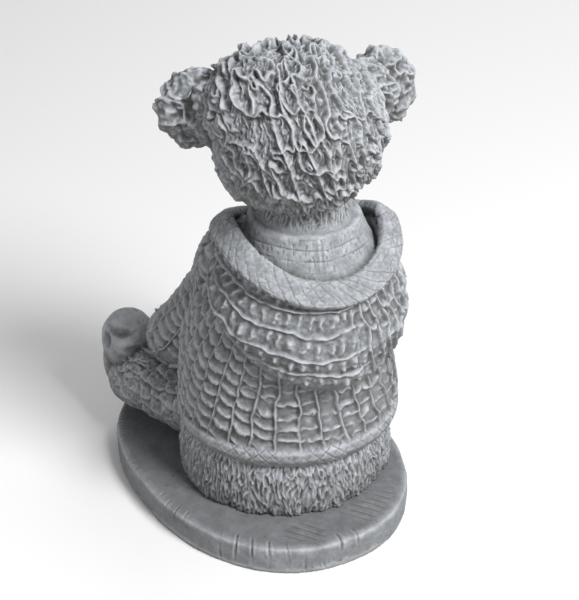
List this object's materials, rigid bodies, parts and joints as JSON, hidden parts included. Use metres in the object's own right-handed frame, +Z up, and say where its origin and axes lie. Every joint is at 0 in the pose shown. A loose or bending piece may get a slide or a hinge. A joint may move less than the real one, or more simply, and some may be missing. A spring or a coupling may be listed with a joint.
{
  "type": "teddy bear statue",
  "caption": "Seated teddy bear in a hooded chunky knit jumper, hood down, legs out, cast in one with a low oval slab.",
  "frame": {"origin": "on the underside of the slab, under the middle of the work's outline", "axes": "+Z up; the bear's feet point to -Y, its left side is +X, and its back is +Y"},
  "size_m": [0.155, 0.211, 0.296],
  "materials": {
    "cast_stone": "matt grey cast concrete with fine grain, pinholes, paler crests and darker hollows"
  },
  "bodies": {
    "root": {"teddy_bear_statue": "cast_stone"}
  },
  "joints": []
}
